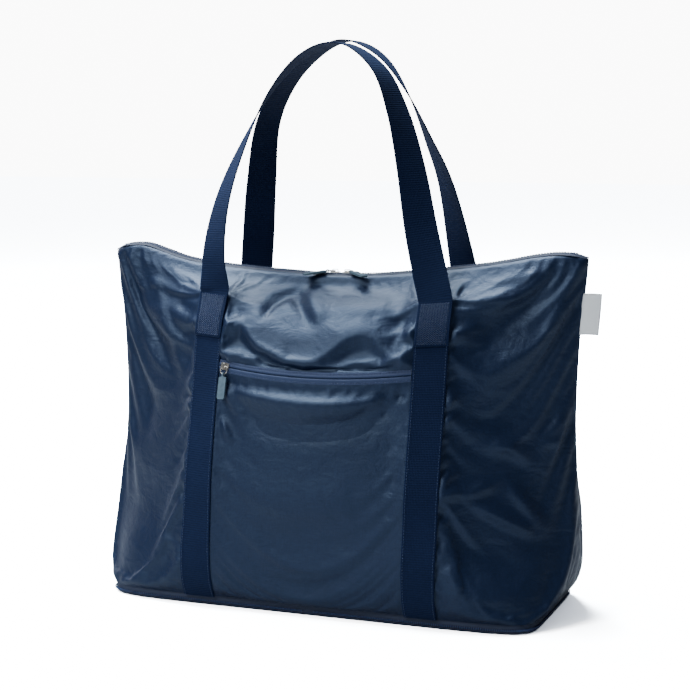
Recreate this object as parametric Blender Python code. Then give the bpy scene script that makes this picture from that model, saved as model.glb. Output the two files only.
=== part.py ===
"""A large foldable nylon tote bag, standing open and empty with its handles up.

Metres, +Z up. The bag stands on z = 0 with its width along X. Its front faces -Y, and the origin is the
middle of its base. The base folds in half at x = 0, and a zip round the base closes it into a flat pouch.
"""

import math

import bmesh
import bpy
from mathutils import Matrix, Vector

# Driving sizes
FABRIC = 0.0015  # thickness of a fabric layer
GAP = 0.0003  # between pieces that touch
WEBBING_WIDTH = 0.038
WEBBING_THICKNESS = 0.0016
TOP_ZIP_HEIGHT = 0.3765  # at the middle of the sag
TOP_ZIP_RADIUS = 1.0  # the sagging zip is an arc of this radius
TOP_ZIP_ARC_END = 0.235  # distance from the middle at which the arc gives way to the drooping corner
CORNER_LENGTH = 0.054
CORNER_DROOP = 0.004
BASE_HALF_LENGTH = 0.255
BASE_HALF_DEPTH = 0.105
BASE_POWER = 9.0  # of the superellipse that the base's outline is
BASE_STEPS = 72
BASE_ZIP_TOP = 0.0112
STRAP_X = 0.133
STRAP_LIFT = 0.0008  # of its back off the panel
PATCH_BOTTOM = 0.306
PATCH_TOP = 0.3535
PATCH_THICKNESS = 0.0008
PATCH_LIFT = 0.0007  # of its back off the strap
PATCH_STEPS = 4
POCKET_HALF_WIDTH = 0.1125
POCKET_ZIP_Z = 0.2685  # at the middle of the pocket
POCKET_ZIP_RISE = 0.0065  # of its ends over its middle
POCKET_DEPTH = 0.008  # how far the front panel lies behind the pocket panel

# A panel from its bottom edge to the zip: half depth of the bag, half width, height at the middle, and the
# powers of the section's outline, which is a rounded oblong at the base, a pointed oval higher up and a
# slot at the zip.
PANEL_PROFILE = (
    (0.107, 0.257, 0.0115, 9.0, 9.0),
    (0.117, 0.271, 0.036, 5.5, 4.2),
    (0.122, 0.283, 0.085, 3.0, 2.0),
    (0.121, 0.281, 0.150, 2.4, 1.5),
    (0.113, 0.278, 0.215, 2.1, 1.25),
    (0.101, 0.279, 0.270, 2.0, 1.2),
    (0.088, 0.282, 0.316, 2.0, 1.2),
    (0.069, 0.286, 0.346, 2.2, 1.2),
    (0.037, 0.288, 0.3640, 4.5, 1.6),
    (0.0098, 0.289, TOP_ZIP_HEIGHT - 0.0018, 20.0, 2.0),
)
PANEL_ROWS = 18
PANEL_COLUMNS = 32

# Middle lines of the handles between their feet, from left to right
FRONT_HANDLE_LINE = (
    (-0.135, -0.0560, 0.405),
    (-0.129, -0.0450, 0.460),
    (-0.111, -0.0330, 0.517),
    (-0.079, -0.0220, 0.582),
    (-0.036, -0.0205, 0.625),
    (0.010, -0.0200, 0.6365),
    (0.052, -0.0205, 0.609),
    (0.077, -0.0260, 0.560),
    (0.096, -0.0370, 0.500),
    (0.113, -0.0500, 0.430),
)
REAR_HANDLE_LINE = (
    (-0.127, 0.0540, 0.415),
    (-0.117, 0.0410, 0.480),
    (-0.103, 0.0290, 0.548),
    (-0.073, 0.0215, 0.597),
    (-0.032, 0.0200, 0.631),
    (0.004, 0.0200, 0.6415),
    (0.043, 0.0200, 0.622),
    (0.073, 0.0220, 0.580),
    (0.094, 0.0320, 0.530),
    (0.114, 0.0440, 0.470),
)
FOOT_RISE = 0.0045  # of a handle's foot over the top of its strap
FOOT_FORWARD = 0.0030  # of the foot off the strap's face, clear of the panel's slope
PIVOT_FORWARD = 0.004  # the handles fold down about a line this far in front of their feet
PIVOT_RISE = 0.002
HANDLE_STEPS = 56
FOOT_TWIST = math.radians(13)  # how far a handle's foot is turned outwards, as the panel under it is
TWIST_PER_METRE = math.radians(277)  # the webbing turns with height until it lies flat over the crest

# The zips: a tape each side of a narrow slit, its coil behind it, and a slider with a plate on each side
SLIT_HALF_WIDTH = 0.0009
TAPE_THICKNESS = 0.0008
COIL_DEPTH = 0.0018
COIL_WIDTH = 0.0022
TAPE_WIDTH = 0.0065
SLIDER_LENGTH = 0.011
SLIDER_HALF_WIDTH = 0.0040
SLIDER_WEB_HALF_WIDTH = 0.0005
SLIDER_PLATE = 0.0010
SLIDER_CLEARANCE = 0.0004
SLIDER_CROWN = TAPE_THICKNESS / 2 + SLIDER_CLEARANCE + SLIDER_PLATE  # height of its back over the tape's middle
BAIL_HEIGHT = 0.0032
BAIL_LENGTH = 0.0074
BAIL_WIDTH = 0.0012
BAIL_STRIP = 0.0008
LINK_RADIUS = 0.0046
LINK_WIRE = 0.0006
TAB_LENGTH = 0.026
TAB_WIDTH = 0.0100
TAB_THICKNESS = 0.0020
EYE_OUTER = 0.0019
EYE_INNER = 0.0011
EYE_LENGTH = 0.0024
TOP_SLIDER_X = 0.0075  # middle of each top slider when the zip is closed
POCKET_SLIDER_X = -0.1065

LABEL_LENGTH = 0.0175
LABEL_HEIGHT = 0.046
LABEL_THICKNESS = 0.0008
LABEL_Z = 0.340


def clear_scene():
    for found in list(bpy.data.objects):
        bpy.data.objects.remove(found, do_unlink=True)


def make_material(name, colour, roughness, metallic=0.0):
    made = bpy.data.materials.new(name)
    made.use_nodes = True
    shader = made.node_tree.nodes["Principled BSDF"]
    shader.inputs["Base Color"].default_value = (*colour, 1.0)
    shader.inputs["Roughness"].default_value = roughness
    shader.inputs["Metallic"].default_value = metallic
    return made


def add_mesh(name, points, faces, material, origin=(0, 0, 0)):
    """An object with its faces turned outwards and its own origin, from points in world space."""
    mesh = bpy.data.meshes.new(name)
    mesh.from_pydata([Vector(p) - Vector(origin) for p in points], [], faces)
    shape = bmesh.new()
    shape.from_mesh(mesh)
    bmesh.ops.recalc_face_normals(shape, faces=shape.faces)
    shape.to_mesh(mesh)
    shape.free()
    mesh.shade_smooth()
    mesh.set_sharp_from_angle(angle=math.radians(40))
    mesh.materials.append(material)
    made = bpy.data.objects.new(name, mesh)
    made.location = origin
    bpy.context.scene.collection.objects.link(made)
    return made


def loft(name, sections, material, closed=False, origin=(0, 0, 0), twisted=False):
    """A solid through sections with the same number of corners, capped at its ends unless it is closed.

    A twisted strip has its faces cut into triangles, the same way on both sides, so that its walls stay apart.
    """
    corners = len(sections[0])
    points = [corner for section in sections for corner in section]
    faces = []
    for i in range(len(sections) - (not closed)):
        here = i * corners
        there = (i + 1) % len(sections) * corners
        for j in range(corners):
            k = (j + 1) % corners
            face = (here + j, here + k, there + k, there + j)
            if not twisted:
                faces.append(face)
            elif j < corners / 2:
                faces += [face[:3], (face[0], *face[2:])]
            else:
                faces += [(*face[:2], face[3]), face[1:]]
    if not closed:
        faces.append(tuple(range(corners)))
        faces.append(tuple(len(points) - corners + j for j in range(corners)))
    return add_mesh(name, points, faces, material, origin)


def sheet_solid(name, outer, inner, material):
    """A solid sheet between two grids of points with the same rows and columns."""
    rows = len(outer)
    columns = len(outer[0])
    points = [p for grid in (outer, inner) for row in grid for p in row]
    faces = []
    for skin in (0, rows * columns):
        for i in range(rows - 1):
            for j in range(columns - 1):
                a = skin + i * columns + j
                faces.append((a, a + 1, a + columns + 1, a + columns))
    rim = list(range(columns))
    rim += [i * columns + columns - 1 for i in range(1, rows)]
    rim += [(rows - 1) * columns + j for j in range(columns - 2, -1, -1)]
    rim += [i * columns for i in range(rows - 2, 0, -1)]
    for a, b in zip(rim, rim[1:] + rim[:1]):
        faces.append((a, b, b + rows * columns, a + rows * columns))
    return add_mesh(name, points, faces, material)


def through(knots, place):
    """A smooth curve through the knots, read at a place from 0 to 1."""
    spans = len(knots) - 1
    along = min(max(place, 0.0), 1.0) * spans
    i = min(int(along), spans - 1)
    f = along - i
    a, b = knots[i], knots[i + 1]
    before = knots[i - 1] if i else [2 * p - q for p, q in zip(a, b)]
    after = knots[i + 2] if i + 2 <= spans else [2 * q - p for p, q in zip(a, b)]
    read = []
    for w, x, y, z in zip(before, a, b, after):
        slope_in = (y - w) / 2
        slope_out = (z - x) / 2
        rise = y - x
        bend = (3 * rise - 2 * slope_in - slope_out) * f**2
        read.append(x + slope_in * f + bend + (slope_in + slope_out - 2 * rise) * f**3)
    return read


def zip_rise(x):
    """Height of the top zip over its middle: an arc, then a corner that droops to its tip."""
    reach = min(abs(x), TOP_ZIP_ARC_END)
    rise = TOP_ZIP_RADIUS - math.sqrt(TOP_ZIP_RADIUS**2 - reach**2)
    past = abs(x) - reach
    slope = TOP_ZIP_ARC_END / math.sqrt(TOP_ZIP_RADIUS**2 - TOP_ZIP_ARC_END**2)
    droop = (slope * CORNER_LENGTH + CORNER_DROOP) / CORNER_LENGTH**2
    return rise + slope * past - droop * past**2


def panel_point(level, x, side):
    """A point on the outside of a panel, side -1 for the front and 1 for the rear."""
    half_depth, half_width, height, across, deep = through(PANEL_PROFILE, level)
    share = min(abs(x) / half_width, 1.0)
    depth = half_depth * (1 - share**across) ** (1 / deep)
    z = height + zip_rise(x) * (height / TOP_ZIP_HEIGHT) ** 4
    return Vector((x, side * depth, z))


def panel_normal(level, x, side):
    step = 0.004
    low = max(level - step, 0.0)
    up = panel_point(low + 2 * step, x, side) - panel_point(low, x, side)
    across = panel_point(level, x + step, side) - panel_point(level, x - step, side)
    normal = across.cross(up).normalized()
    return normal if normal.y * side > 0 else -normal


def raised(level, x, side, lift):
    return panel_point(level, x, side) + lift * panel_normal(level, x, side)


def level_at(height, x):
    """The level at which a panel has this height."""
    low, high = 0.0, 1.0
    for _ in range(30):
        middle = (low + high) / 2
        if panel_point(middle, x, 1).z < height:
            low = middle
        else:
            high = middle
    return low


def even_columns(level):
    """Distances from the middle that divide a panel's section into equal steps along its outline."""
    half_depth, half_width, _, across, deep = through(PANEL_PROFILE, level)
    fine = 240
    outline = []
    for i in range(fine + 1):
        turn = math.pi / 2 * (1 - i / fine)
        x = half_width * max(math.cos(turn), 0.0) ** (2 / across)
        y = half_depth * math.sin(turn) ** (2 / deep)
        outline.append(Vector((x, y)))
    lengths = [0.0]
    for a, b in zip(outline, outline[1:]):
        lengths.append(lengths[-1] + (b - a).length)
    half = [0.0]
    i = 0
    for step in range(1, PANEL_COLUMNS // 2):
        target = lengths[-1] * step / (PANEL_COLUMNS // 2)
        while lengths[i + 1] < target:
            i += 1
        share = (target - lengths[i]) / (lengths[i + 1] - lengths[i])
        half.append(outline[i].lerp(outline[i + 1], share).x)
    half.append(half_width)
    return [-x for x in half[:0:-1]] + half


def ramp(value, start, end):
    """0 before start, 1 after end, and smooth between them."""
    share = min(max((value - start) / (end - start), 0.0), 1.0)
    return share * share * (3 - 2 * share)


def pocket_recess(point):
    """How far the front panel lies back behind the pocket, at this point."""
    edge = 1 - ramp(abs(point.x), POCKET_HALF_WIDTH, POCKET_HALF_WIDTH + 0.018)
    top = 1 - ramp(point.z, POCKET_ZIP_Z + 0.012, POCKET_ZIP_Z + 0.030)
    bottom = ramp(point.z, 0.0115, 0.024)
    return POCKET_DEPTH * edge * top * bottom


def make_panel(name, side, material):
    """A front or rear panel, which wraps round to the side seams and over to the top zip."""
    grid = []
    for i in range(PANEL_ROWS + 1):
        level = i / PANEL_ROWS
        grid.append([panel_point(level, x, side) for x in even_columns(level)])
    outer = []
    inner = []
    for i, row in enumerate(grid):
        below = grid[max(i - 1, 0)]
        above = grid[min(i + 1, PANEL_ROWS)]
        outer.append([])
        inner.append([])
        for j, point in enumerate(row):
            across = row[min(j + 1, PANEL_COLUMNS)] - row[max(j - 1, 0)]
            normal = across.cross(above[j] - below[j]).normalized() * -side
            skin = point - normal * (pocket_recess(point) if side < 0 else 0.0)
            back = skin - normal * FABRIC
            for placed in (skin, back):
                placed.y = side * max(side * placed.y, GAP)
            outer[-1].append(skin)
            inner[-1].append(back)
    return sheet_solid(name, outer, inner, material)


def make_side_binding(name, side, material):
    """Tape that binds the panels' raw edges inside a side seam, side -1 for the left and 1 for the right."""
    outer_edge = FABRIC + 2 * GAP
    width = 0.008
    sections = []
    for i in range(1, PANEL_ROWS):
        _, half_width, height, _, _ = through(PANEL_PROFILE, i / PANEL_ROWS)
        z = height + zip_rise(half_width) * (height / TOP_ZIP_HEIGHT) ** 4
        near = half_width - outer_edge - 0.001
        far = near - width
        half = FABRIC / 3
        sections.append([
            Vector((side * x, y, z)) for x, y in ((near, -half), (near, half), (far, half), (far, -half))
        ])
    return loft(name, sections, material)


def strap_section(level, side, x_side, low, high, inset):
    """The section of a flat strip over a strap's line, between two lifts off the panel."""
    half = WEBBING_WIDTH / 2 - inset
    places = [x_side * STRAP_X + half * share for share in (-1, 0, 1)]
    return [raised(level, x, side, low) for x in places] + [raised(level, x, side, high) for x in places[::-1]]


def patch_levels():
    bottom = level_at(PATCH_BOTTOM, STRAP_X)
    top = level_at(PATCH_TOP, STRAP_X)
    return [bottom + (top - bottom) * i / PATCH_STEPS for i in range(PATCH_STEPS + 1)]


def make_strap(name, side, x_side, material):
    """Webbing sewn flat to a panel from the base to the foot of a handle."""
    over_patch = patch_levels()
    rows = [i / PANEL_ROWS for i in range(PANEL_ROWS)]
    levels = [level for level in rows if level < over_patch[0] - 0.01] + over_patch
    high = STRAP_LIFT + WEBBING_THICKNESS
    return loft(name, [strap_section(level, side, x_side, STRAP_LIFT, high, 0.0) for level in levels], material)


def make_stitch_patch(name, side, x_side, material):
    """The dense block of stitching that fixes a handle's foot to its strap."""
    low = STRAP_LIFT + WEBBING_THICKNESS + PATCH_LIFT
    high = low + PATCH_THICKNESS
    sections = [strap_section(level, side, x_side, low, high, 0.001) for level in patch_levels()]
    return loft(name, sections, material)


def handle_foot(side, x_side):
    """The middle of a handle's foot, just over the top of its strap."""
    lift = STRAP_LIFT + WEBBING_THICKNESS / 2
    top = raised(patch_levels()[-1], x_side * STRAP_X, side, lift)
    return top + Vector((0, side * FOOT_FORWARD, FOOT_RISE))


def make_handle(name, line, side, material):
    """A handle: flat webbing that stands on its feet and turns to lie flat over the crest."""
    feet = [handle_foot(side, -1), handle_foot(side, 1)]
    knots = [feet[0], *line, feet[1]]
    centres = [Vector(through(knots, i / HANDLE_STEPS)) for i in range(HANDLE_STEPS + 1)]
    sections = []
    for i, centre in enumerate(centres):
        tangent = (centres[min(i + 1, HANDLE_STEPS)] - centres[max(i - 1, 0)]).normalized()
        outward = tangent.cross(Vector((0, side, 0))).normalized()
        if outward.dot(Vector((centre.x, 0, centre.z - feet[0].z))) < 0:
            outward = -outward
        face = tangent.cross(outward).normalized()
        if face.y * side < 0:
            face = -face
        twist = min(FOOT_TWIST + TWIST_PER_METRE * (centre.z - feet[0].z), math.pi / 2)
        normal = face * math.cos(twist) + outward * math.sin(twist)
        across = tangent.cross(normal).normalized() * WEBBING_WIDTH / 2
        thick = normal * WEBBING_THICKNESS / 2
        sections.append([
            centre - across - thick, centre + across - thick, centre + across + thick, centre - across + thick
        ])
    pivot = (0, feet[0].y + side * PIVOT_FORWARD, feet[0].z + PIVOT_RISE)
    return loft(name, sections, material, origin=pivot, twisted=True)


def top_zip_frame(x):
    """Place and directions of the top zip at x: along it, across it and up."""
    step = 0.0005
    place = Vector((x, 0, TOP_ZIP_HEIGHT + zip_rise(x)))
    along = Vector((2 * step, 0, zip_rise(x + step) - zip_rise(x - step))).normalized()
    across = Vector((0, 1, 0))
    return place, along, across, along.cross(across)


def make_top_tape(name, side, material):
    steps = 40
    reach = 0.278
    sections = []
    for i in range(steps + 1):
        x = reach * (2 * i / steps - 1)
        place, _, across, up = top_zip_frame(x)
        edge = abs(panel_point(1.0, x, side).y) - FABRIC - GAP
        half = TAPE_THICKNESS / 2
        sections.append([
            place + side * across * y + up * h
            for y, h in ((SLIT_HALF_WIDTH, -half), (edge, -half), (edge, half), (SLIT_HALF_WIDTH, half))
        ])
    return loft(name, sections, material)


def coil_corners():
    """Corners of a coil's section: distance from the zip's middle, and height under the tape's face."""
    near = SLIT_HALF_WIDTH
    far = near + COIL_WIDTH
    high = -TAPE_THICKNESS / 2 - GAP
    low = high - COIL_DEPTH
    return (near, low), (far, low), (far, high), (near, high)


def make_top_coil(name, side, material):
    steps = 40
    reach = 0.270
    sections = []
    for i in range(steps + 1):
        place, _, across, up = top_zip_frame(reach * (2 * i / steps - 1))
        sections.append([place + side * across * y + up * h for y, h in coil_corners()])
    return loft(name, sections, material)


def pocket_track():
    """The pocket zip's arc: its centre, axis and radius, and the zip's place and directions at its middle."""
    middle_level = level_at(POCKET_ZIP_Z, 0)
    end_level = level_at(POCKET_ZIP_Z + POCKET_ZIP_RISE, POCKET_HALF_WIDTH)
    middle = panel_point(middle_level, 0, -1)
    normal = panel_normal(middle_level, 0, -1)
    middle += normal * 0.0012
    end = raised(end_level, POCKET_HALF_WIDTH, -1, 0.0012)
    sag = middle - Vector((0, end.y, end.z))
    radius = (end.x**2 + sag.length_squared) / (2 * sag.length)
    centre = middle - sag.normalized() * radius
    axis = sag.normalized().cross(Vector((1, 0, 0)))
    up = normal.cross(Vector((1, 0, 0)))
    up = up if up.z > 0 else -up
    return centre, axis, radius, middle, up, normal


def pocket_turn(x):
    """The turn about the pocket zip's arc that takes its middle to this x."""
    centre, axis, radius, _, _, _ = pocket_track()
    turn = Matrix.Rotation(math.asin(x / radius), 4, axis)
    if (turn @ Vector((0, -1, 0))).x * x < 0:
        turn = Matrix.Rotation(-math.asin(x / radius), 4, axis)
    return Matrix.Translation(centre) @ turn @ Matrix.Translation(-centre)


def sweep_pocket(name, corners, reach, material):
    """A solid along the pocket zip's arc, from its section's corners: height up the panel, height off it."""
    _, _, _, middle, up, normal = pocket_track()
    steps = 16
    sections = []
    for i in range(steps + 1):
        turn = pocket_turn(reach * (2 * i / steps - 1))
        sections.append([turn @ (middle + up * u + normal * h) for u, h in corners])
    return loft(name, sections, material)


def make_pocket_zip(tape_material, coil_material):
    half = TAPE_THICKNESS / 2
    for name, side in (("upper", 1), ("lower", -1)):
        near = side * SLIT_HALF_WIDTH
        far = side * TAPE_WIDTH
        tape = ((near, -half), (far, -half), (far, half), (near, half))
        sweep_pocket(f"pocket_zip_{name}_tape", tape, POCKET_HALF_WIDTH, tape_material)
        coil = [(side * y, h) for y, h in coil_corners()]
        sweep_pocket(f"pocket_zip_{name}_coil", coil, POCKET_HALF_WIDTH - 0.002, coil_material)


def make_pocket_panel(material):
    """The pocket's outer fabric, from the base up to the lower edge of the pocket zip."""
    rows = 12
    columns = 10
    outer = []
    inner = []
    _, _, _, middle, up, _ = pocket_track()
    bottom = level_at(0.0145, 0)
    for i in range(rows + 1):
        outer.append([])
        inner.append([])
        for j in range(columns + 1):
            x = POCKET_HALF_WIDTH * (2 * j / columns - 1)
            edge = pocket_turn(x) @ (middle - up * (TAPE_WIDTH + 2 * GAP))
            top = level_at(edge.z, x)
            level = bottom + (top - bottom) * i / rows
            outer[-1].append(raised(level, x, -1, GAP + FABRIC))
            inner[-1].append(raised(level, x, -1, GAP))
    return sheet_solid("pocket_panel", outer, inner, material)


def base_outline(inset, steps):
    """Points round the base's outline, drawn in by inset, from the middle of the rear edge."""
    length = BASE_HALF_LENGTH - inset
    depth = BASE_HALF_DEPTH - inset
    points = []
    for i in range(steps):
        turn = 2 * math.pi * i / steps
        reach = abs(math.sin(turn)) ** BASE_POWER + abs(math.cos(turn)) ** BASE_POWER
        share = reach ** (-1 / BASE_POWER)
        points.append(Vector((length * share * math.sin(turn), depth * share * math.cos(turn), 0)))
    return points


def make_plate(name, inset, low, high, material):
    outline = base_outline(inset, BASE_STEPS)
    sections = [[p + Vector((0, 0, z)) for p in outline] for z in (low, high)]
    return loft(name, sections, material)


def make_base_tape(material):
    """The zip tape that stands round the base, between the base and the panels."""
    low = FABRIC + GAP
    outside = base_outline(0.0, BASE_STEPS)
    inside = base_outline(0.0012, BASE_STEPS)
    sections = []
    for outer, inner in zip(outside, inside):
        sections.append([
            point + Vector((0, 0, z))
            for point, z in ((outer, low), (outer, BASE_ZIP_TOP), (inner, BASE_ZIP_TOP), (inner, low))
        ])
    return loft("base_zip_tape", sections, material, closed=True)


def make_base_coil(name, side, material):
    """One half of the base's zip, which runs round three sides of its half of the base."""
    outline = base_outline(-0.0018, BASE_STEPS)
    middle = BASE_STEPS // 2
    half = outline[1:middle] if side > 0 else outline[:middle:-1]
    clear = side * 0.0065
    path = [Vector((clear, half[0].y, 0))] + half + [Vector((clear, half[-1].y, 0))]
    sections = []
    for i, point in enumerate(path):
        along = path[min(i + 1, len(path) - 1)] - path[max(i - 1, 0)]
        outward = along.cross(Vector((0, 0, 1))).normalized()
        if outward.dot(point) < 0:
            outward = -outward
        sections.append([
            point + outward * o + Vector((0, 0, z))
            for o, z in ((-0.0011, 0.0040), (0.0011, 0.0040), (0.0011, 0.0064), (-0.0011, 0.0064))
        ])
    return loft(name, sections, material)


def boolean(target, other, operation):
    change = target.modifiers.new(other.name, "BOOLEAN")
    change.operation = operation
    change.object = other
    other.hide_render = True
    other.display_type = "WIRE"


def prism(name, corners, place, first, second, third, low, high, material, origin=None):
    """A solid with corners in the plane of two directions, from low to high along the third."""
    sections = [
        [place + first * u + second * v + third * w for u, v in corners]
        for w in (low, high)
    ]
    return loft(name, sections, material, origin=origin or place)


def add_bail(body, frame, material, turned=False):
    """The arch on a slider's back that its link hangs in. It runs along the zip, or across it if turned."""
    place, along, across, out = frame
    if turned:
        along, across = across, along
    foot = BAIL_LENGTH / 2
    hole = foot - BAIL_STRIP
    shoulder = 0.001
    low = SLIDER_CROWN - SLIDER_PLATE / 2
    high = SLIDER_CROWN + BAIL_HEIGHT
    arch = (
        (-foot, low), (-foot, high - shoulder), (-hole, high),
        (hole, high), (foot, high - shoulder), (foot, low),
        (hole, low), (hole, high - BAIL_STRIP), (-hole, high - BAIL_STRIP), (-hole, low),
    )
    half = BAIL_WIDTH / 2
    boolean(body, prism(body.name + "_bail", arch, place, along, out, across, -half, half, material), "UNION")


def make_slider(name, frame, material, track_centre, bail_turned=False):
    """A slider: plates over and under the zip, joined by a web through its slit, with a bail on top.

    The frame is the zip's place, and the directions along it, across it and out of it. The slider turns
    about the centre of its zip's arc.
    """
    place, along, across, out = frame
    top = TAPE_THICKNESS / 2 + SLIDER_CLEARANCE
    sole = coil_corners()[0][1] - SLIDER_CLEARANCE
    web = SLIDER_WEB_HALF_WIDTH
    wide = SLIDER_HALF_WIDTH
    half_section = (
        (wide, SLIDER_CROWN), (wide, top), (web, top), (web, sole), (wide, sole), (wide, sole - SLIDER_PLATE)
    )
    section = list(half_section) + [(-y, h) for y, h in half_section[::-1]]
    half = SLIDER_LENGTH / 2
    body = prism(name, section, place, across, out, along, -half, half, material, track_centre)
    add_bail(body, frame, material, bail_turned)


def make_base_slider(frame, material):
    """The base zip's slider. It waits at the fold, between the ends of the two half zips."""
    place, along, across, out = frame
    wide = SLIDER_HALF_WIDTH
    sole = -0.0020
    section = ((-wide, sole), (wide, sole), (wide, SLIDER_CROWN), (-wide, SLIDER_CROWN))
    half = SLIDER_LENGTH / 2
    body = prism("base_slider", section, place, across, out, along, -half, half, material)
    add_bail(body, frame, material)


def bail_centre(frame):
    """Where the link's wire lies at rest: in the middle of the bail's opening."""
    place, _, _, out = frame
    return place + out * (SLIDER_CROWN + (BAIL_HEIGHT - BAIL_STRIP) / 2)


def make_link(name, pivot, reach, axis, material):
    """A wire ring that hangs in a bail. It turns about the axis, and reach points to its far side."""
    centre = pivot + reach * LINK_RADIUS
    lift = reach.cross(axis).normalized()
    around = 16
    sides = 6
    sections = []
    for i in range(around):
        turn = 2 * math.pi * i / around
        outward = reach * math.cos(turn) + axis * math.sin(turn)
        ring = centre + outward * LINK_RADIUS
        sections.append([
            ring + LINK_WIRE * (outward * math.cos(a) + lift * math.sin(a))
            for a in (2 * math.pi * j / sides for j in range(sides))
        ])
    return loft(name, sections, material, closed=True, origin=pivot)


def cylinder(name, centre, axis, radius, length, material):
    sides = 16
    first = axis.orthogonal().normalized()
    second = axis.cross(first).normalized()
    sections = []
    for end in (-length / 2, length / 2):
        sections.append([
            centre + axis * end + radius * (first * math.cos(a) + second * math.sin(a))
            for a in (2 * math.pi * j / sides for j in range(sides))
        ])
    return loft(name, sections, material)


def make_tab(name, pivot, reach, axis, material):
    """A pull tab with an eye round the far side of its link."""
    lift = reach.cross(axis).normalized()
    half = TAB_WIDTH / 2
    neck = 0.4 * EYE_LENGTH
    start = EYE_OUTER + 0.0006
    end = start + TAB_LENGTH
    corner = 0.0025
    outline = [(0.0013, -neck), (start, -neck), (start + 0.001, -half), (end - corner, -half)]
    for i in range(1, 4):
        turn = math.pi / 2 * i / 4
        outline.append((end - corner + corner * math.sin(turn), -half + corner - corner * math.cos(turn)))
    outline.append((end, -half + corner))
    outline += [(u, -v) for u, v in outline[::-1]]
    flat = TAB_THICKNESS / 2
    tab = prism(name, outline, pivot, reach, axis, lift, -flat, flat, material)
    eye = cylinder(name + "_eye", pivot, axis, EYE_OUTER, EYE_LENGTH, material)
    hole = cylinder(name + "_hole", pivot, axis, EYE_INNER, 3 * EYE_LENGTH, material)
    boolean(tab, eye, "UNION")
    boolean(tab, hole, "DIFFERENCE")
    return tab


def make_pull(name, frame, reach, tab_drop, metal, rubber):
    """A slider's link, which lies in the direction reach, and its tab, which drops further on their hinge."""
    reach = Vector(reach).normalized()
    lift = frame[3] - reach * reach.dot(frame[3])
    axis = reach.cross(lift).normalized()
    pivot = bail_centre(frame)
    make_link(name + "_pull_link", pivot, reach, axis, metal)
    tab_reach = Matrix.Rotation(-tab_drop, 3, axis) @ reach
    make_tab(name + "_pull_tab", pivot + reach * 2 * LINK_RADIUS, tab_reach, axis, rubber)


def make_label(material):
    """A blank fabric label sewn into the right side seam."""
    level = level_at(LABEL_Z, 0.27)
    _, half_width, _, _, _ = through(PANEL_PROFILE, level)
    lean = 0.0016
    near = half_width + 0.0006
    half = LABEL_THICKNESS / 2
    sections = []
    for z in (LABEL_Z - LABEL_HEIGHT / 2, LABEL_Z + LABEL_HEIGHT / 2):
        shift = lean if z > LABEL_Z else -lean
        start = near + shift + lean
        sections.append([
            Vector((x, y, z))
            for x, y in ((start, -half), (start + LABEL_LENGTH, -half), (start + LABEL_LENGTH, half), (start, half))
        ])
    return loft("side_label", sections, material)


def pocket_frame(x):
    _, _, _, middle, up, normal = pocket_track()
    turn = pocket_turn(x)
    spin = turn.to_3x3()
    along = spin @ Vector((1, 0, 0))
    return turn @ middle, along, spin @ up, spin @ normal


def base_frame():
    """The base slider's place on the rear edge, at the fold, with its coil outside the tape."""
    height = 0.0056
    edge = BASE_HALF_DEPTH + 0.0026
    return Vector((0, edge, height)), Vector((1, 0, 0)), Vector((0, 0, 1)), Vector((0, 1, 0))


def main():
    clear_scene()
    nylon = make_material("navy_nylon", (0.035, 0.055, 0.115), 0.38)
    lining = make_material("navy_lining", (0.020, 0.030, 0.065), 0.5)
    webbing = make_material("navy_webbing", (0.012, 0.022, 0.060), 0.7)
    thread = make_material("navy_thread", (0.040, 0.065, 0.120), 0.75)
    tape = make_material("zip_tape", (0.020, 0.045, 0.110), 0.7)
    coil = make_material("zip_coil", (0.015, 0.030, 0.075), 0.4)
    metal = make_material("nickel", (0.72, 0.70, 0.67), 0.25, 1.0)
    rubber = make_material("tab_rubber", (0.16, 0.24, 0.30), 0.55)
    white = make_material("label_fabric", (0.82, 0.86, 0.88), 0.8)

    make_panel("front_panel", -1, nylon)
    make_panel("rear_panel", 1, nylon)
    make_side_binding("left_side_binding", -1, tape)
    make_side_binding("right_side_binding", 1, tape)
    make_plate("base_panel", 0.0, 0.0, FABRIC, nylon)
    make_plate("base_lining", 0.0020, FABRIC + GAP, 2 * FABRIC, lining)
    make_base_tape(tape)
    make_base_coil("base_zip_left_coil", -1, coil)
    make_base_coil("base_zip_right_coil", 1, coil)

    make_top_tape("top_zip_front_tape", -1, tape)
    make_top_tape("top_zip_rear_tape", 1, tape)
    make_top_coil("top_zip_front_coil", -1, coil)
    make_top_coil("top_zip_rear_coil", 1, coil)

    make_pocket_panel(nylon)
    make_pocket_zip(tape, coil)

    for front_rear, side in (("front", -1), ("rear", 1)):
        for left_right, x_side in (("left", -1), ("right", 1)):
            make_strap(f"{front_rear}_{left_right}_strap", side, x_side, webbing)
            make_stitch_patch(f"{front_rear}_{left_right}_stitch_patch", side, x_side, thread)
    make_handle("front_handle", FRONT_HANDLE_LINE, -1, webbing)
    make_handle("rear_handle", REAR_HANDLE_LINE, 1, webbing)

    for name, side in (("top_left", -1), ("top_right", 1)):
        frame = top_zip_frame(side * TOP_SLIDER_X)
        make_slider(name + "_slider", frame, metal, Vector((0, 0, TOP_ZIP_HEIGHT + TOP_ZIP_RADIUS)))
        make_pull(name, frame, (side * 0.76, -0.60, 0), math.radians(7), metal, rubber)
    frame = pocket_frame(POCKET_SLIDER_X)
    make_slider("pocket_slider", frame, metal, pocket_track()[0], bail_turned=True)
    make_pull("pocket", frame, (0, -0.27, -0.96), 0.0, metal, rubber)
    frame = base_frame()
    make_base_slider(frame, metal)
    make_pull("base", frame, (1, 0, 0), 0.0, metal, rubber)

    make_label(white)


main()
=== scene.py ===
"""The look of the foldable tote bag: nylon, webbing, stitching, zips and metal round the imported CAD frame.

Metres, +Z up, in the frame's own coordinates: the front faces -Y and the bag stands on z = 0.
"""

import math

import bpy
import numpy as np
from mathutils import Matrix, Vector, noise


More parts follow.
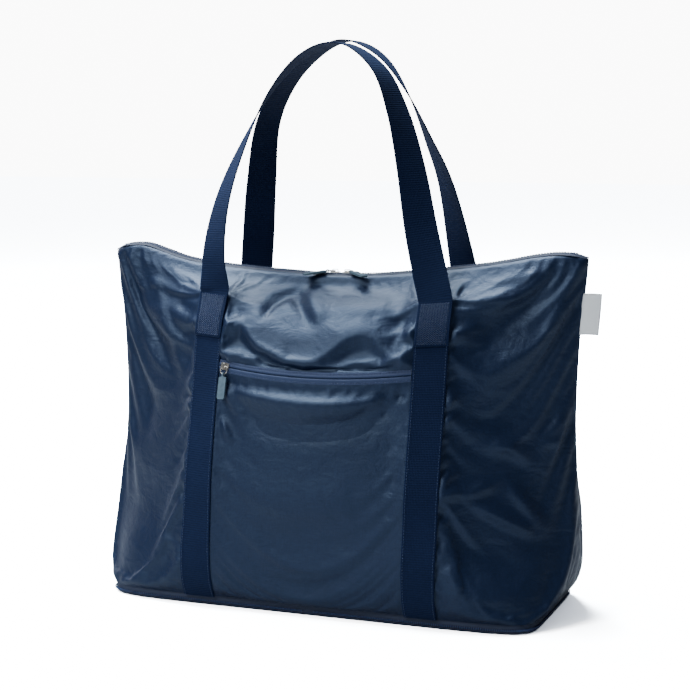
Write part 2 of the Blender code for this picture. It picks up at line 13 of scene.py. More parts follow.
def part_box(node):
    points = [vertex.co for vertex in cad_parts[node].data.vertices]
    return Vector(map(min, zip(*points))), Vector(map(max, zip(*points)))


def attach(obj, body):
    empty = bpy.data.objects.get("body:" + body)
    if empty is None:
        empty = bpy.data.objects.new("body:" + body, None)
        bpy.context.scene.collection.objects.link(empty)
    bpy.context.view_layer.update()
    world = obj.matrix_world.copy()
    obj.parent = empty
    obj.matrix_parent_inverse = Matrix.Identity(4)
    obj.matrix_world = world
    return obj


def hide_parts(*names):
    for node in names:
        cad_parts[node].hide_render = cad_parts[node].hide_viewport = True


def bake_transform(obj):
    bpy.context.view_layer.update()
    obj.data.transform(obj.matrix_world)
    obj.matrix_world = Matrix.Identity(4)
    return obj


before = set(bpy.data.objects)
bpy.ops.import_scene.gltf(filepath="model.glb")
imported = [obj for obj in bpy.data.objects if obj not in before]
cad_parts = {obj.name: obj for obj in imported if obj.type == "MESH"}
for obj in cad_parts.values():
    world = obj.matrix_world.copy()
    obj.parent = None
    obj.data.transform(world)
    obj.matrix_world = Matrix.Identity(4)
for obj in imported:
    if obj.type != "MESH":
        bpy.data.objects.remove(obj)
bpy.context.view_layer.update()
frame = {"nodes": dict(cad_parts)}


# ---------------------------------------------------------------- driving sizes

# The panels' outline, as the CAD panels have it, from the bottom hem to the top zip: half depth, half width,
# height at the middle, and the two powers of the section's outline.
ZIP_Z = 0.3765  # height of the top zip at its middle
PANEL_PROFILE = (
    (0.107, 0.257, 0.0115, 9.0, 9.0),
    (0.117, 0.271, 0.036, 5.5, 4.2),
    (0.122, 0.283, 0.085, 3.0, 2.0),
    (0.121, 0.281, 0.150, 2.4, 1.5),
    (0.113, 0.278, 0.215, 2.1, 1.25),
    (0.101, 0.279, 0.270, 2.0, 1.2),
    (0.088, 0.282, 0.316, 2.0, 1.2),
    (0.069, 0.286, 0.346, 2.2, 1.2),
    (0.037, 0.288, 0.3640, 4.5, 1.6),
    (0.0098, 0.289, ZIP_Z - 0.0018, 20.0, 2.0),
)
# The sagging line of the top zip: distance from the middle and height
ZIP_LINE = (
    (-0.289, 0.398), (-0.272, 0.405), (-0.248, 0.406), (-0.224, 0.3995), (-0.197, 0.3913), (-0.165, 0.3859),
    (-0.115, 0.3816), (-0.055, 0.3783), (0.0, ZIP_Z), (0.055, 0.3790), (0.110, 0.3850), (0.155, 0.3906),
    (0.190, 0.3962), (0.240, 0.4056), (0.270, 0.407), (0.289, 0.403),
)
PANEL_ROWS = 96
PANEL_COLUMNS = 168

STRAP_X = 0.133
WEBBING_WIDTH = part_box("front_left_strap")[1].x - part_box("front_left_strap")[0].x - 0.0008
WEBBING_THICKNESS = 0.0016
STRAP_LIFT = 0.0008
PATCH_BOTTOM = 0.306
PATCH_TOP = 0.3535
POCKET_HALF_WIDTH = 0.1125
POCKET_ZIP_Z = 0.2685
POCKET_ZIP_RISE = 0.0065
POCKET_LIFT = 0.0020  # of the pocket's fabric off the panel's outline
POCKET_RECESS = 0.008  # of the front panel behind the pocket
TAPE_WIDTH = 0.0065

# Middle lines of the handles between their feet, as the CAD handles have them
HANDLE_LINES = {
    "front": (
        (-0.135, -0.0560, 0.405), (-0.129, -0.0450, 0.460), (-0.111, -0.0330, 0.517),
        (-0.079, -0.0220, 0.582), (-0.036, -0.0205, 0.625), (0.010, -0.0200, 0.6365),
        (0.052, -0.0205, 0.609), (0.077, -0.0260, 0.560), (0.096, -0.0370, 0.500), (0.113, -0.0500, 0.430),
    ),
    "rear": (
        (-0.127, 0.0540, 0.415), (-0.117, 0.0410, 0.480), (-0.103, 0.0290, 0.548), (-0.073, 0.0215, 0.597),
        (-0.032, 0.0200, 0.631), (0.004, 0.0200, 0.6415), (0.043, 0.0200, 0.622), (0.073, 0.0220, 0.580),
        (0.094, 0.0320, 0.530), (0.114, 0.0440, 0.470),
    ),
}
FOOT_TWIST = math.radians(13)
TWIST_PER_METRE = math.radians(277)

BASE_HALF_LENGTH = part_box("base_panel")[1].x
BASE_HALF_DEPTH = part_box("base_panel")[1].y
BASE_POWER = 9.0
BASE_ZIP_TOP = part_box("base_zip_tape")[1].z

THREAD_RADIUS = 0.00032
THREAD_SINK = 0.0002  # of a stitch's ends into the cloth
STITCH_LENGTH = 0.0024
STITCH_PITCH = 0.0033

UP = Vector((0, 0, 1))


# ---------------------------------------------------------------- curves and surfaces


def through(knots, place):
    """A smooth curve through the knots, read at a place from 0 to 1."""
    spans = len(knots) - 1
    along = min(max(place, 0.0), 1.0) * spans
    i = min(int(along), spans - 1)
    f = along - i
    a, b = knots[i], knots[i + 1]
    before = knots[i - 1] if i else [2 * p - q for p, q in zip(a, b)]
    after = knots[i + 2] if i + 2 <= spans else [2 * q - p for p, q in zip(a, b)]
    read = []
    for w, x, y, z in zip(before, a, b, after):
        slope_in = (y - w) / 2
        slope_out = (z - x) / 2
        rise = y - x
        bend = (3 * rise - 2 * slope_in - slope_out) * f**2
        read.append(x + slope_in * f + bend + (slope_in + slope_out - 2 * rise) * f**3)
    return read


def ramp(value, start, end):
    """0 before start, 1 after end, and smooth between them."""
    share = np.clip((value - start) / (end - start), 0.0, 1.0)
    return share * share * (3 - 2 * share)


def spaced(half, steps):
    """Even steps from -half to half."""
    return [half * (2 * i / steps - 1) for i in range(steps + 1)]


def distances(points):
    """How far along a line each of its points lies."""
    return np.concatenate([[0], np.cumsum([(b - a).length for a, b in zip(points, points[1:])])])


def turned_to(way, towards):
    """The direction or its opposite, whichever points towards the other."""
    return -way if way.dot(towards) < 0 else way


def zip_height(x):
    """Height of the top zip at x."""
    x = min(max(x, ZIP_LINE[0][0]), ZIP_LINE[-1][0])
    i = max(k for k in range(len(ZIP_LINE) - 1) if ZIP_LINE[k][0] <= x)
    share = (x - ZIP_LINE[i][0]) / (ZIP_LINE[i + 1][0] - ZIP_LINE[i][0])
    return through(ZIP_LINE, (i + share) / (len(ZIP_LINE) - 1))[1]


def panel_point(level, x, side):
    """A point on the outline of a panel, side -1 for the front and 1 for the rear."""
    half_depth, half_width, height, across, deep = through(PANEL_PROFILE, level)
    share = min(abs(x) / half_width, 1.0)
    depth = half_depth * (1 - share**across) ** (1 / deep)
    z = height + (zip_height(x) - ZIP_Z) * (height / ZIP_Z) ** 4
    return Vector((x, side * depth, z))


def panel_normal(level, x, side):
    step = 0.004
    low = max(level - step, 0.0)
    up = panel_point(low + 2 * step, x, side) - panel_point(low, x, side)
    across = panel_point(level, x + step, side) - panel_point(level, x - step, side)
    normal = across.cross(up).normalized()
    return normal if normal.y * side > 0 else -normal


def raised(level, x, side, lift):
    return panel_point(level, x, side) + lift * panel_normal(level, x, side)


def level_at(height, x):
    """The level at which a panel has this height."""
    low, high = 0.0, 1.0
    for _ in range(24):
        middle = (low + high) / 2
        if panel_point(middle, x, 1).z < height:
            low = middle
        else:
            high = middle
    return low


def even_levels(count):
    """Levels that divide a panel's middle into equal steps, from the hem to the zip."""
    fine = 400
    places = [panel_point(i / fine, 0.0, 1) for i in range(fine + 1)]
    lengths = distances(places)
    return np.interp(np.linspace(0, lengths[-1], count + 1), lengths, np.linspace(0, 1, fine + 1))


def even_columns(level, count):
    """Distances from the middle that divide a panel's section into equal steps along its outline."""
    half_depth, half_width, _, across, deep = through(PANEL_PROFILE, level)
    turn = np.linspace(math.pi / 2, 0, 600)
    x = half_width * np.maximum(np.cos(turn), 0.0) ** (2 / across)
    y = half_depth * np.sin(turn) ** (2 / deep)
    lengths = np.concatenate([[0], np.cumsum(np.hypot(np.diff(x), np.diff(y)))])
    half = np.interp(np.linspace(0, lengths[-1], count // 2 + 1), lengths, x)
    return np.concatenate([-half[:0:-1], half])


def grid_normals(grid, side):
    """Outward normals of a grid of points."""
    across = np.gradient(grid, axis=1)
    up = np.gradient(grid, axis=0)
    normals = np.cross(across, up) * -side
    return normals / np.maximum(np.linalg.norm(normals, axis=2, keepdims=True), 1e-12)


# ---------------------------------------------------------------- meshes


def new_object(name, data):
    made = bpy.data.objects.new(name, data)
    bpy.context.scene.collection.objects.link(made)
    return made


def mesh_object(name, points, faces, material, uvs=None):
    mesh = bpy.data.meshes.new(name)
    mesh.from_pydata([tuple(p) for p in points], [], faces)
    mesh.validate()
    mesh.shade_smooth()
    if uvs is not None:
        layer = mesh.uv_layers.new(name="metres")
        corners = np.zeros(len(mesh.loops), np.int64)
        mesh.loops.foreach_get("vertex_index", corners)
        layer.data.foreach_set("uv", np.asarray(uvs, np.float32)[corners].ravel())
    mesh.materials.append(material)
    return new_object(name, mesh)


def grid_faces(rows, columns, wrap=False):
    """Quads between the points of a grid, row by row; wrap joins its last column to its first."""
    faces = []
    for i in range(rows - 1):
        for j in range(columns - (not wrap)):
            k = (j + 1) % columns
            faces.append((i * columns + j, i * columns + k, (i + 1) * columns + k, (i + 1) * columns + j))
    return faces


def grid_uvs(grid):
    """Distances in metres along a grid's rows and up its columns."""
    across = np.linalg.norm(np.diff(grid, axis=1), axis=2)
    up = np.linalg.norm(np.diff(grid, axis=0), axis=2)
    u = np.concatenate([np.zeros((grid.shape[0], 1)), np.cumsum(across, axis=1)], axis=1)
    u -= u.mean(axis=1, keepdims=True)
    v = np.concatenate([np.zeros((1, grid.shape[1])), np.cumsum(up, axis=0)], axis=0)
    return np.stack([u, v], axis=2).reshape(-1, 2)


def grid_object(name, grid, side, material):
    """A sheet through a grid of points, facing outwards."""
    faces = grid_faces(*grid.shape[:2])
    if side > 0:
        faces = [face[::-1] for face in faces]
    return mesh_object(name, grid.reshape(-1, 3), faces, material, grid_uvs(grid))


def ribbon(name, frames):
    """Flat webbing with rounded edges, through frames of centre, direction across and normal."""
    edge = WEBBING_THICKNESS * 0.45
    half = WEBBING_WIDTH / 2
    profile = [
        (-half, 0.0), (-half + 0.3 * edge, 0.75), (-half + edge, 1.0), (-half + 3 * edge, 1.0), (0.0, 1.0),
        (half - 3 * edge, 1.0), (half - edge, 1.0), (half - 0.3 * edge, 0.75), (half, 0.0),
    ]
    profile += [(x, -y) for x, y in profile[-2:0:-1]]
    rows = []
    uvs = []
    for (centre, across, normal), travelled in zip(frames, distances([frame[0] for frame in frames])):
        rows.append([centre + across * x + normal * (y * WEBBING_THICKNESS / 2) for x, y in profile])
        uvs += [(x, travelled) for x, _ in profile]
    points = [p for row in rows for p in row]
    faces = grid_faces(len(rows), len(profile), wrap=True)
    faces.append(tuple(range(len(profile)))[::-1])
    faces.append(tuple(len(points) - len(profile) + j for j in range(len(profile))))
    return mesh_object(name, points, faces, WEBBING, uvs)


def tube(name, paths, radius, material, sides=6):
    """Round threads or wires along paths, in one mesh, with tapered ends."""
    points = []
    faces = []
    uvs = []
    for path in paths:
        start = len(points)
        travelled = 0.0
        for i, place in enumerate(path):
            before = path[max(i - 1, 0)]
            after = path[min(i + 1, len(path) - 1)]
            along = (after - before).normalized()
            first = along.orthogonal().normalized()
            second = along.cross(first)
            travelled += (place - before).length
            size = radius * (0.35 if i in (0, len(path) - 1) else 1.0)
            for k in range(sides):
                turn = 2 * math.pi * k / sides
                points.append(place + size * (first * math.cos(turn) + second * math.sin(turn)))
                uvs.append((k / sides * 0.002, travelled))
        for i in range(len(path) - 1):
            for k in range(sides):
                m = (k + 1) % sides
                here, there = start + i * sides, start + (i + 1) * sides
                faces.append((here + k, here + m, there + m, there + k))
        faces.append(tuple(start + k for k in range(sides))[::-1])
        faces.append(tuple(start + (len(path) - 1) * sides + k for k in range(sides)))
    return mesh_object(name, points, faces, material, uvs)


def stitch_paths(line, normals, seed=0):
    """Short arched stitches one after another along a line of points."""
    lengths = distances(line)
    count = int(lengths[-1] / STITCH_PITCH)
    places = np.array([tuple(p) for p in line])
    outs = np.array([tuple(n) for n in normals])
    paths = []
    for k in range(count):
        start = (k + 0.5) * lengths[-1] / count - STITCH_LENGTH / 2
        path = []
        for i in range(5):
            at = start + STITCH_LENGTH * i / 4
            place = Vector([float(np.interp(at, lengths, places[:, c])) for c in range(3)])
            out = Vector([float(np.interp(at, lengths, outs[:, c])) for c in range(3)]).normalized()
            wander = 0.00018 * noise.noise(Vector((at * 260, seed, 0)))
            arch = math.sin(math.pi * i / 4) * (THREAD_RADIUS + THREAD_SINK)
            path.append(place + out * (arch - THREAD_SINK) + Vector((0, 0, wander)))
        paths.append(path)
    return paths


def ride(piece, body, slot, *nodes):
    """The piece rides on a body and stands for CAD nodes, which are hidden; the slot is not used."""
    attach(piece, body)
    if nodes:
        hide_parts(*nodes)
    return piece


def sew(name, paths, *nodes, sides=6):
    """Stitches along paths, in one mesh of navy thread on the bag."""
    ride(tube(name, paths, THREAD_RADIUS, THREAD, sides), "bag", "navy_thread", *nodes)


# ---------------------------------------------------------------- materials


class Shading:
    """A material's nodes, with short calls that add a node and wire it."""

    def __init__(self, name):
        self.material = bpy.data.materials.new(name)
        self.material.use_nodes = True
        self.tree = self.material.node_tree
        self.shader = self.tree.nodes["Principled BSDF"]
        self.uv = self.add("ShaderNodeUVMap").outputs[0]
        self.place = self.add("ShaderNodeTexCoord").outputs["Object"]

    def add(self, kind, inputs=None, **settings):
        node = self.tree.nodes.new(kind)
        for key, value in settings.items():
            setattr(node, key, value)
        for key, value in (inputs or {}).items():
            self.wire(node.inputs[key], value)
        return node

    def wire(self, socket, value):
        if isinstance(value, bpy.types.NodeSocket):
            self.tree.links.new(value, socket)
        else:
            socket.default_value = value

    def maths(self, operation, a, b=0.0, c=0.0):
        return self.add("ShaderNodeMath", {0: a, 1: b, 2: c}, operation=operation).outputs[0]

    def stretched(self, source, scale):
        return self.add("ShaderNodeMapping", {"Vector": source, "Scale": scale}).outputs[0]

    def noise(self, source, scale, detail=3.0, roughness=0.55, distortion=0.0):
        inputs = {
            "Vector": source, "Scale": scale, "Detail": detail, "Roughness": roughness,
            "Distortion": distortion,
        }
        return self.add("ShaderNodeTexNoise", inputs).outputs["Fac"]

    def spread(self, value, low, high, out_low=0.0, out_high=1.0):
        inputs = {"Value": value, "From Min": low, "From Max": high, "To Min": out_low, "To Max": out_high}
        return self.add("ShaderNodeMapRange", inputs).outputs[0]

    def colours(self, factor, first, second):
        mix = self.add("ShaderNodeMix", data_type="RGBA")
        self.wire(mix.inputs["Factor"], factor)
        self.wire(mix.inputs["A"], first if isinstance(first, bpy.types.NodeSocket) else (*first, 1.0))
        self.wire(mix.inputs["B"], second if isinstance(second, bpy.types.NodeSocket) else (*second, 1.0))
        return mix.outputs["Result"]

    def bump(self, height, strength, distance, normal=None):
        inputs = {"Height": height, "Strength": strength, "Distance": distance}
        if normal is not None:
            inputs["Normal"] = normal
        return self.add("ShaderNodeBump", inputs).outputs[0]

    def wave(self, source, axis, pitch, phase=0.0):
        """Ridges from 0 to 1 along one axis of a coordinate, a pitch apart."""
        split = self.add("ShaderNodeSeparateXYZ", {0: source})
        turned = self.maths("MULTIPLY_ADD", split.outputs[axis], 2 * math.pi / pitch, phase)
        return self.maths("MULTIPLY_ADD", self.maths("SINE", turned), 0.5, 0.5)

    def set(self, **values):
        for key, value in values.items():
            self.wire(self.shader.inputs[key.replace("_", " ")], value)
        return self.material


def nylon_material():
    """Coated navy nylon: a fine plain weave, broad sheen, small creases and a little mottling."""
    s = Shading("navy_nylon_fabric")
    mottling = s.noise(s.place, 9.0, 4.0, 0.6)
    warp = s.noise(s.stretched(s.uv, (1400.0, 60.0, 1.0)), 1.0, 2.0)
    weft = s.noise(s.stretched(s.uv, (60.0, 1400.0, 1.0)), 1.0, 2.0)
    yarn = s.maths("MULTIPLY_ADD", warp, 0.5, s.maths("MULTIPLY", weft, 0.5))
    base = s.colours(s.spread(mottling, 0.3, 0.7), (0.0022, 0.0056, 0.0205), (0.0034, 0.0082, 0.0285))
    base = s.colours(s.spread(yarn, 0.35, 0.65), base, (0.0050, 0.0116, 0.0370))
    creases = s.noise(s.stretched(s.place, (1.0, 1.0, 1.7)), 34.0, 4.0, 0.5, 0.6)
    crinkle = s.noise(s.place, 120.0, 3.0, 0.5, 0.4)
    weave = s.maths("ADD", s.wave(s.uv, "X", 0.0011), s.wave(s.uv, "Y", 0.0011))
    height = s.maths("MULTIPLY_ADD", creases, 1.0, s.maths("MULTIPLY", crinkle, 0.16))
    normal = s.bump(height, 0.42, 0.004)
    normal = s.bump(s.maths("MULTIPLY_ADD", yarn, 1.0, s.maths("MULTIPLY", weave, 0.35)), 0.2, 0.0006, normal)
    uneven = s.maths("MULTIPLY_ADD", yarn, 0.5, s.maths("MULTIPLY", mottling, 0.5))
    rough = s.spread(uneven, 0.3, 0.7, 0.39, 0.48)
    return s.set(
        Base_Color=base, Roughness=rough, Normal=normal, IOR=1.50, Sheen_Weight=0.03, Sheen_Roughness=0.30,
        Sheen_Tint=(0.40, 0.58, 0.98, 1.0), Specular_Tint=(0.52, 0.71, 1.0, 1.0),
    )


def webbing_material():
    """Woven webbing: weft ribs across it, warp cords along it, a little fuzz and lighter patches."""
    s = Shading("navy_webbing_fabric")
    ribs = s.wave(s.uv, "Y", 0.0026)
    cords = s.wave(s.uv, "X", 0.0017)
    fuzz = s.noise(s.uv, 900.0, 3.0, 0.6)
    patches = s.noise(s.place, 26.0, 3.0)
    weave = s.maths("MULTIPLY_ADD", ribs, 0.6, s.maths("MULTIPLY", cords, 0.4))
    weave = s.maths("MULTIPLY_ADD", fuzz, 0.5, weave)
    dark, light = (0.0014, 0.0042, 0.0200), (0.0040, 0.0100, 0.0400)
    base = s.colours(s.spread(weave, 0.3, 1.2), dark, light)
    base = s.colours(s.spread(patches, 0.35, 0.75, 0.0, 0.35), base, (0.0056, 0.0130, 0.0470))
    normal = s.bump(weave, 0.55, 0.0007)
    return s.set(
        Base_Color=base, Roughness=0.72, Normal=normal, IOR=1.40, Sheen_Weight=0.07, Sheen_Roughness=0.45,
        Sheen_Tint=(0.25, 0.42, 0.95, 1.0), Specular_IOR_Level=0.25,
        Specular_Tint=(0.55, 0.74, 1.0, 1.0),
    )


def thread_material():
    """Twisted polyester thread, lighter than the webbing: partly its own colour, partly painted sheen for the
    lighter stitch patches.
    """
    s = Shading("navy_thread_fabric")
    twist = s.wave(s.uv, "Y", 0.0009)
    # light thread colours: partly the thread's own tone, partly painted sheen
    base = s.colours(twist, (0.0085, 0.0230, 0.0780), (0.0200, 0.0480, 0.1350))
    return s.set(Base_Color=base, Roughness=0.5, Normal=s.bump(twist, 0.4, 0.0002), Sheen_Weight=0.08)


def tape_material(name, dark, light, by_place=False):
    """Woven tape: fine ribs across it and soft lint, laid by UVs or by place, ribs stacked upwards."""
    s = Shading(name)
    source, first, second = (s.place, "Z", "Y") if by_place else (s.uv, "X", "Y")
    ribs = s.wave(source, first, 0.0012)
    rows = s.wave(source, second, 0.0016)
    lint = s.maths("MULTIPLY", s.noise(source, 700.0, 2.0), 0.4)
    weave = s.maths("MULTIPLY_ADD", ribs, 0.6, s.maths("MULTIPLY_ADD", rows, 0.3, lint))
    base = s.colours(s.spread(weave, 0.2, 1.1), dark, light)
    return s.set(
        Base_Color=base, Roughness=0.62, Normal=s.bump(weave, 0.5, 0.0005), Sheen_Weight=0.08,
        Sheen_Tint=(0.45, 0.60, 0.95, 1.0),
    )


def coil_material():
    """Dyed nylon coil, smoother than its tape."""
    s = Shading("navy_coil_plastic")
    shade = s.noise(s.place, 300.0, 2.0)
    base = s.colours(shade, (0.012, 0.030, 0.100), (0.028, 0.062, 0.190))
    return s.set(Base_Color=base, Roughness=0.38, Normal=s.bump(shade, 0.1, 0.0003))


def metal_material():
    """Polished nickel plate with fine scratches and slightly dull, warm patches."""
    s = Shading("polished_nickel")
    scratches = s.noise(s.stretched(s.place, (900.0, 120.0, 900.0)), 1.0, 3.0)
    patches = s.noise(s.place, 160.0, 3.0)
    base = s.colours(s.spread(patches, 0.35, 0.7), (0.78, 0.74, 0.68), (0.58, 0.54, 0.48))
    worn = s.maths("MULTIPLY_ADD", patches, 0.6, s.maths("MULTIPLY", scratches, 0.4))
    rough = s.spread(worn, 0.3, 0.7, 0.14, 0.34)
    return s.set(Base_Color=base, Metallic=1.0, Roughness=rough, Normal=s.bump(scratches, 0.08, 0.0002))


def tab_material(name, dark, light, roughness):
    """Moulded soft rubber with a fine matt grain and lighter, rubbed patches."""
    s = Shading(name)
    grain = s.noise(s.place, 2600.0, 2.0)
    rubbed = s.noise(s.place, 220.0, 3.0)
    base = s.colours(s.spread(rubbed, 0.35, 0.7), dark, light)
    return s.set(Base_Color=base, Roughness=roughness, Normal=s.bump(grain, 0.25, 0.0002))


def label_material():
    """White woven satin label, blank."""
    s = Shading("white_label_fabric")
    weave = s.maths("ADD", s.wave(s.uv, "X", 0.0008), s.wave(s.uv, "Y", 0.0006))
    lint = s.noise(s.uv, 300.0, 3.0)
    shade = s.maths("MULTIPLY_ADD", lint, 0.6, s.maths("MULTIPLY", weave, 0.2))
    base = s.colours(shade, (0.95, 0.97, 0.98), (0.86, 0.90, 0.93))
    return s.set(Base_Color=base, Roughness=0.6, Normal=s.bump(weave, 0.4, 0.0003), Sheen_Weight=0.2)


def lining_material():
    """Matt lining with a fine weave."""
    s = Shading("navy_lining_fabric")
    weave = s.maths("ADD", s.wave(s.place, "X", 0.0014), s.wave(s.place, "Y", 0.0014))
    shade = s.noise(s.place, 30.0, 3.0)
    base = s.colours(shade, (0.010, 0.016, 0.036), (0.018, 0.028, 0.058))
    return s.set(Base_Color=base, Roughness=0.7, Normal=s.bump(weave, 0.3, 0.0004))


NYLON = nylon_material()
WEBBING = webbing_material()
THREAD = thread_material()
TOP_TAPE = tape_material("top_zip_tape_fabric", (0.0040, 0.0085, 0.0260), (0.0095, 0.0180, 0.0480))
POCKET_TAPE = tape_material("pocket_zip_tape_fabric", (0.0075, 0.0190, 0.0620), (0.0190, 0.0440, 0.1250))
BASE_TAPE = tape_material("base_zip_tape_fabric", (0.0060, 0.0120, 0.0380), (0.0150, 0.0280, 0.0720))
BINDING = tape_material("binding_fabric", (0.0030, 0.0065, 0.0220), (0.0075, 0.0150, 0.0420), by_place=True)
COIL = coil_material()
METAL = metal_material()
TAB = tab_material("tab_rubber_face", (0.055, 0.095, 0.130), (0.085, 0.135, 0.175), 0.5)
LABEL = label_material()
LINING = lining_material()


# ---------------------------------------------------------------- fabric panels


def wander(point, scale, seed):
    """Smooth noise from about -1 to 1."""
    return noise.noise(Vector((point[0] * scale, point[2] * scale, point[1] * scale + seed * 7.3)))


def panel_grid(side):
    """The panel's outline as a fine grid of points."""
    grid = np.zeros((PANEL_ROWS + 1, PANEL_COLUMNS + 1, 3))
    for i, level in enumerate(even_levels(PANEL_ROWS)):
        for j, x in enumerate(even_columns(level, PANEL_COLUMNS)):
            grid[i, j] = panel_point(level, x, side)
    return grid


def sewn_share(grid, side):
    """How firmly each point of a panel is sewn down: 1 on straps, seams and the pocket, 0 on free fabric."""
    x, z = np.abs(grid[..., 0]), grid[..., 2]
    row, column = np.indices(x.shape)
    sewn = (np.abs(x - STRAP_X) < WEBBING_WIDTH / 2 - 0.0005) & (z < PATCH_TOP + 0.002)
    sewn |= (row == 0) | (row >= x.shape[0] - 2) | (column == 0) | (column == x.shape[1] - 1)
    if side < 0:
        sewn |= (x < STRAP_X) & (z < POCKET_ZIP_Z + 0.009 + POCKET_ZIP_RISE * (x / POCKET_HALF_WIDTH) ** 2)
    return sewn.astype(float)


def recess(grid):
    """How far the front panel lies back behind the pocket."""
    x, z = np.abs(grid[..., 0]), grid[..., 2]
    edge = 1 - ramp(x, POCKET_HALF_WIDTH - 0.004, POCKET_HALF_WIDTH + 0.004)
    top = 1 - ramp(z, POCKET_ZIP_Z - 0.012, POCKET_ZIP_Z - 0.004)
    return POCKET_RECESS * edge * top


def swell(grid, side):
    """Broad, slow unevenness of a panel, along the outline's normal."""
    slow = np.zeros(grid.shape[:2])
    for i in range(grid.shape[0]):
        for j in range(grid.shape[1]):
            p = grid[i, j]
            slow[i, j] = 0.0035 * wander(p, 9.0, 2 + side) + 0.0015 * wander(p, 22.0, 5 + side)
    return slow


FOLD_DEPTH = 1.35  # of every fold, over its own height


def fold_rise(grid, height, left_width, right_width, *path):
    """A fold along a path of (x, z), tapering off at both ends, with a width on each side of its crest."""
    x, z = grid[..., 0], grid[..., 2]
    steps = 110
    nearest = np.full(x.shape, np.inf)
    rise = np.zeros(x.shape)
    for k in range(steps + 1):
        share = k / steps
        here = through(path, share)
        ahead = through(path, share + 0.01)
        behind = through(path, share - 0.01)
        way = (ahead[0] - behind[0], ahead[1] - behind[1])
        off_x, off_z = x - here[0], z - here[1]
        distance = np.hypot(off_x, off_z)
        on_left = way[0] * off_z - way[1] * off_x > 0
        width = np.where(on_left, left_width, right_width)
        taper = math.sin(math.pi * min(max(share, 0.02), 0.98)) ** 0.5
        fall = np.exp(-((distance / width) ** 2))
        closer = distance < nearest
        rise = np.where(closer, FOLD_DEPTH * height * taper * fall, rise)
        nearest = np.where(closer, distance, nearest)
    return rise


# The large folds of the front panel: height, width on the left and on the right, and the path as (x, z)
FRONT_FOLDS = (
    # the slumped upper left corner and the left side: valleys, and the ridges beside them
    (-0.0060, 0.012, 0.010, (-0.262, 0.372), (-0.240, 0.330), (-0.208, 0.286), (-0.178, 0.243)),
    (0.0060, 0.010, 0.016, (-0.232, 0.376), (-0.214, 0.342), (-0.196, 0.296), (-0.174, 0.256)),
    (0.0045, 0.008, 0.012, (-0.276, 0.372), (-0.270, 0.330), (-0.258, 0.292)),
    (-0.0045, 0.012, 0.018, (-0.250, 0.310), (-0.240, 0.250), (-0.238, 0.190)),
    (0.0038, 0.010, 0.007, (-0.278, 0.205), (-0.262, 0.185), (-0.240, 0.150)),
    (0.0030, 0.006, 0.009, (-0.204, 0.352), (-0.186, 0.332), (-0.166, 0.322)),
    (0.0030, 0.006, 0.008, (-0.200, 0.318), (-0.182, 0.300), (-0.162, 0.291)),
    # the S-shaped fold under the top zip, left of its middle
    (
        -0.0042, 0.007, 0.005,
        (-0.066, 0.336), (-0.062, 0.352), (-0.046, 0.362), (-0.030, 0.353), (-0.014, 0.336),
    ),
    (0.0034, 0.014, 0.007, (-0.030, 0.362), (-0.012, 0.352), (0.008, 0.333)),
    # the two peaks over the pocket zip, steeper below their crests, and the slack round them
    (
        0.0080, 0.020, 0.007,
        (-0.124, 0.286), (-0.100, 0.318), (-0.084, 0.318), (-0.060, 0.300), (-0.024, 0.290),
    ),
    (
        0.0080, 0.020, 0.007,
        (-0.030, 0.289), (0.010, 0.294), (0.040, 0.314), (0.062, 0.319), (0.086, 0.304), (0.110, 0.282),
    ),
    (-0.0045, 0.008, 0.012, (-0.070, 0.286), (-0.020, 0.279), (0.040, 0.280), (0.092, 0.279)),
    (0.0040, 0.008, 0.010, (-0.114, 0.276), (-0.094, 0.292), (-0.078, 0.286), (-0.058, 0.277)),
    (-0.0040, 0.010, 0.010, (0.092, 0.362), (0.094, 0.340), (0.100, 0.316)),
    (0.0032, 0.012, 0.012, (-0.090, 0.352), (-0.060, 0.328), (-0.010, 0.318), (0.050, 0.338)),
    (0.0030, 0.020, 0.010, (0.010, 0.356), (0.044, 0.350), (0.080, 0.356)),
    # ridges and valleys that fan out from the right strap towards the upper right corner
    (0.0045, 0.012, 0.016, (0.150, 0.300), (0.180, 0.340), (0.214, 0.372), (0.244, 0.392)),
    (0.0040, 0.010, 0.014, (0.150, 0.330), (0.172, 0.356), (0.200, 0.378)),
    (-0.0040, 0.014, 0.014, (0.158, 0.285), (0.192, 0.322), (0.226, 0.352), (0.262, 0.380)),
    (0.0040, 0.014, 0.018, (0.160, 0.240), (0.196, 0.275), (0.232, 0.318), (0.262, 0.346)),
    (-0.0045, 0.020, 0.016, (0.180, 0.222), (0.220, 0.236), (0.256, 0.262)),
    # creases across the right panel's middle
    (0.0050, 0.010, 0.005, (0.200, 0.204), (0.220, 0.198), (0.246, 0.178)),
    (0.0045, 0.009, 0.005, (0.150, 0.148), (0.186, 0.152), (0.210, 0.160)),
    (0.0060, 0.009, 0.004, (0.186, 0.142), (0.216, 0.124), (0.250, 0.104)),
    (0.0042, 0.008, 0.005, (0.224, 0.158), (0.240, 0.136), (0.258, 0.110)),
    (0.0036, 0.006, 0.005, (0.242, 0.206), (0.258, 0.216), (0.276, 0.228)),
    (0.0036, 0.006, 0.005, (0.240, 0.196), (0.258, 0.202), (0.276, 0.196)),
    (-0.0040, 0.012, 0.014, (0.170, 0.110), (0.212, 0.090), (0.250, 0.060)),
    (0.0035, 0.016, 0.016, (0.160, 0.060), (0.200, 0.050), (0.236, 0.030)),
)
